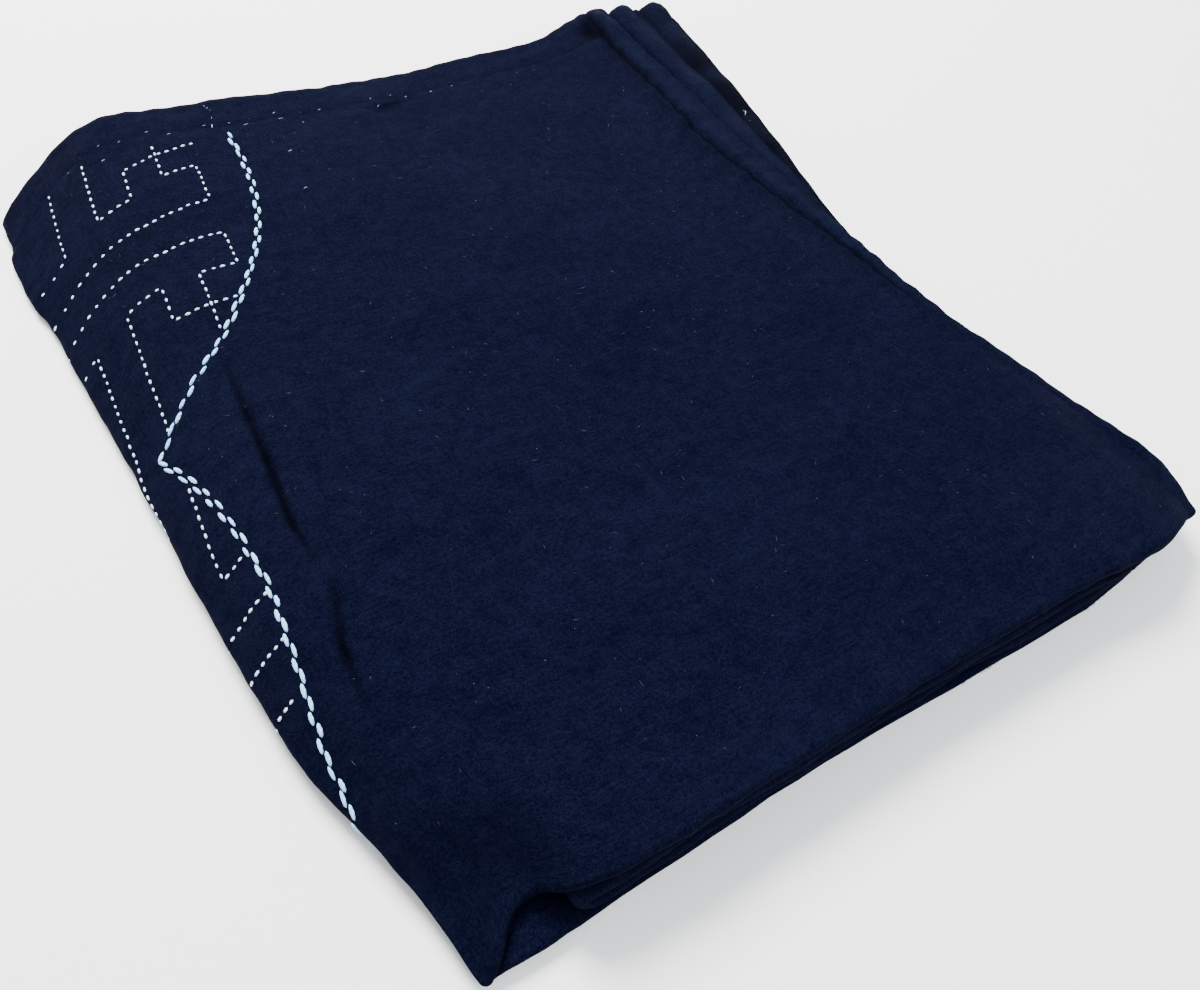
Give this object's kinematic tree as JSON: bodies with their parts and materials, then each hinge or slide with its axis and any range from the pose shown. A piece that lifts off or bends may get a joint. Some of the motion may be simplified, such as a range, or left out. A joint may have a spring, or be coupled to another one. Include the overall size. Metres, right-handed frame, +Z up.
{
  "type": "folded sashiko-stitched cloth",
  "caption": "Dark indigo cotton cloth with white running-stitch embroidery, hemmed and folded into a flat, soft-edged pile.",
  "frame": {"origin": "under the middle of the pile, on the surface that it lies on", "axes": "+Z up; +Y to the back edge, where the hems lie, and along the pile's longer side; +X to the side where the hemmed ends fan out"},
  "size_m": [0.4081, 0.4516, 0.0288],
  "materials": {
    "indigo_cotton": "matt, slightly napped plain-weave cotton"
  },
  "bodies": {
    "root": {"folded_cloth": "indigo_cotton"}
  },
  "joints": []
}
